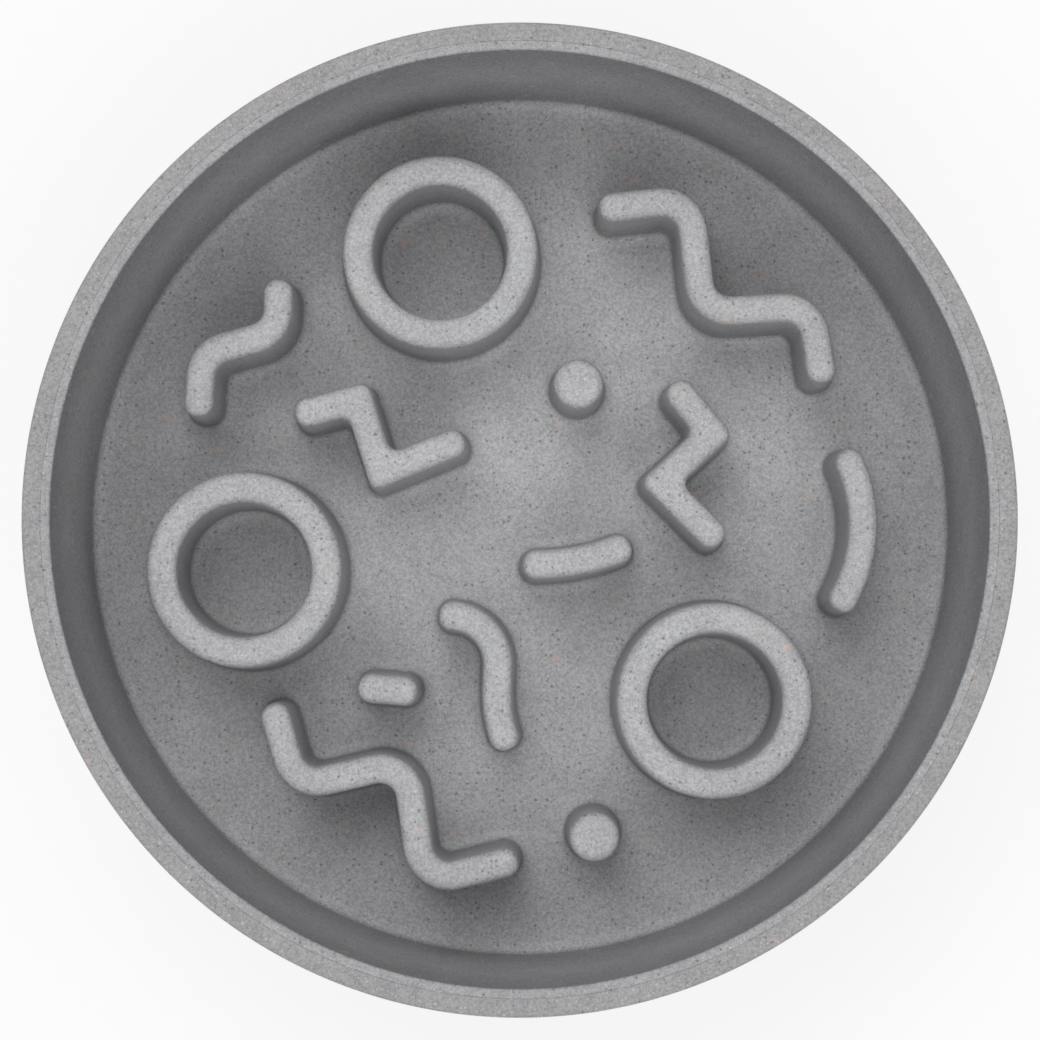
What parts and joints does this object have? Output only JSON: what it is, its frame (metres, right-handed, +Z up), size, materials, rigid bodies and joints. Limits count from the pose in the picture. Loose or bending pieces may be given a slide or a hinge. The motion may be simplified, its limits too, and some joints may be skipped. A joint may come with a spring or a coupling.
{
  "type": "slow feeder bowl",
  "caption": "Round slow feeder bowl: an outer shell on soft pads holds a tray whose floor carries rings, wavy and zigzag ridges, arcs and pegs that spread out a pet's food.",
  "frame": {"origin": "on the ground, under the middle of the bowl", "axes": "+Z up out of the bowl's mouth, +X to the right and +Y to the back as seen from above in the picture"},
  "size_m": [0.21, 0.21, 0.05],
  "materials": {
    "shell_plastic": "matte, finely speckled",
    "tray_plastic": "matte, finely speckled",
    "pad_rubber": "matte"
  },
  "bodies": {
    "root": {"outer_shell": "shell_plastic", "feeding_tray": "tray_plastic", "foot_pad_back_right": "pad_rubber", "foot_pad_back_left": "pad_rubber", "foot_pad_front_left": "pad_rubber", "foot_pad_front_right": "pad_rubber"}
  },
  "joints": []
}
